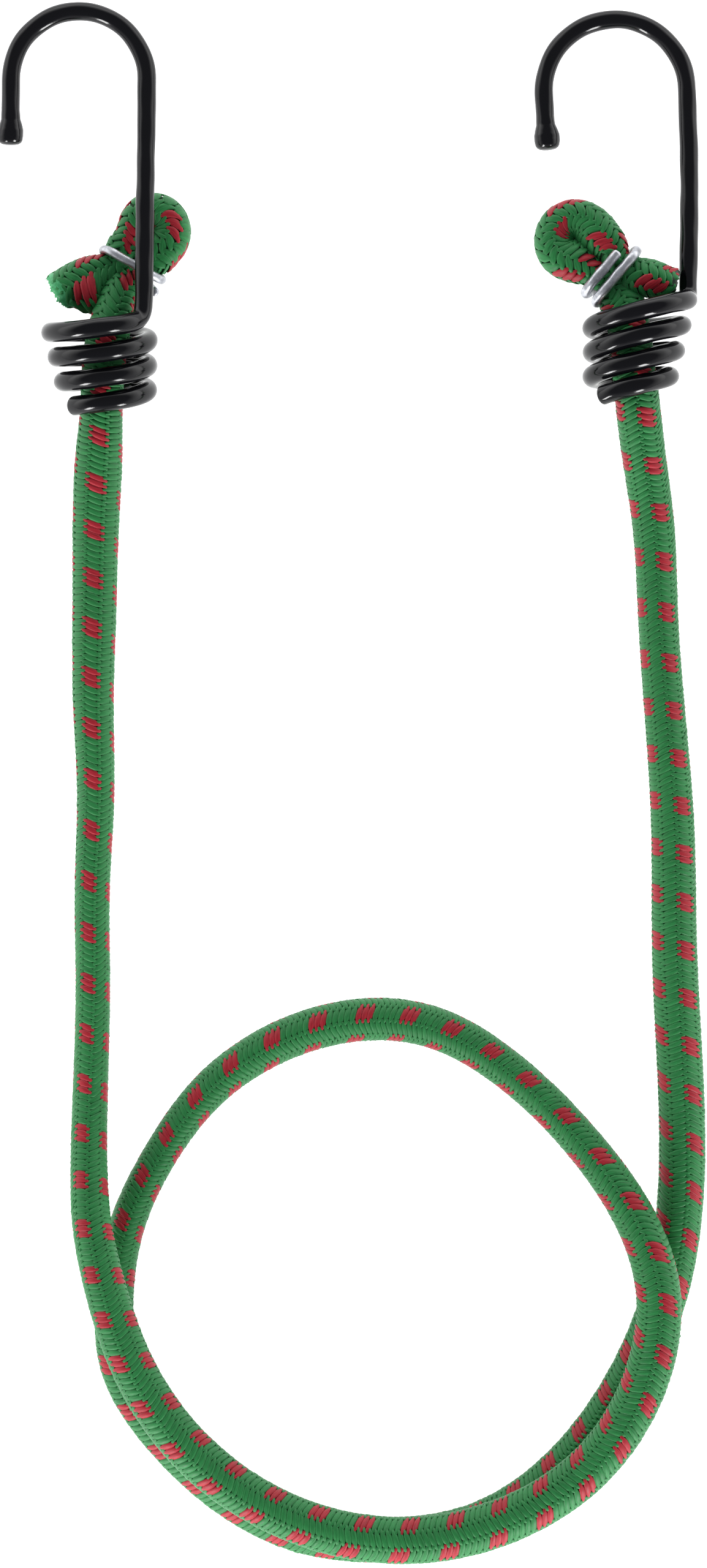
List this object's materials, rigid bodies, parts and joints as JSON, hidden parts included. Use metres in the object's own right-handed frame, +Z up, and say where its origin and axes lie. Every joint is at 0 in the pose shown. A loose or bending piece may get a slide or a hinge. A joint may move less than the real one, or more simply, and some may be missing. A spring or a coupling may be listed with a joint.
{
  "type": "bungee cord",
  "caption": "Elastic bungee cord lying in an open loop, with a plastic-dipped wire hook coiled round each end.",
  "frame": {"origin": "on the surface that the cord lies on, under the middle of the box round the two hooks and the two clips", "axes": "+Z up from the surface, +Y from the cord's open loop towards the hooks' arches, +X from the left hook to the right hook"},
  "size_m": [0.1228, 0.2707, 0.0203],
  "materials": {
    "braid": "braided textile, green with red flecks",
    "rubber": "natural latex rubber, matt",
    "black_plastic": "smooth dipped plastic, glossy",
    "hook_steel": "drawn spring wire",
    "clip_zinc": "galvanised wire, satin"
  },
  "bodies": {
    "cord": {"braided_sheath": "braid", "rubber_strand_01": "rubber", "rubber_strand_02": "rubber", "rubber_strand_03": "rubber", "rubber_strand_04": "rubber", "rubber_strand_05": "rubber", "rubber_strand_06": "rubber", "rubber_strand_07": "rubber", "rubber_strand_08": "rubber", "rubber_strand_09": "rubber", "rubber_strand_10": "rubber", "rubber_strand_11": "rubber", "rubber_strand_12": "rubber", "rubber_strand_13": "rubber", "left_wire_clip": "clip_zinc", "right_wire_clip": "clip_zinc"},
    "left_hook": {"left_hook_coating": "black_plastic", "left_hook_wire": "hook_steel"},
    "right_hook": {"right_hook_coating": "black_plastic", "right_hook_wire": "hook_steel"}
  },
  "joints": [
    {"name": "left_hook_swivel", "type": "hinge", "parent": "cord", "child": "left_hook", "pos_m": [-0.0417, -0.0197, 0.0103], "axis": [0.1184, 0.978, 0.1719], "range_deg": [-90, 8]},
    {"name": "right_hook_swivel", "type": "hinge", "parent": "cord", "child": "right_hook", "pos_m": [0.0482, -0.0178, 0.0098], "axis": [-0.1062, 0.9942, 0.0174], "range_deg": [-165, 120]}
  ]
}
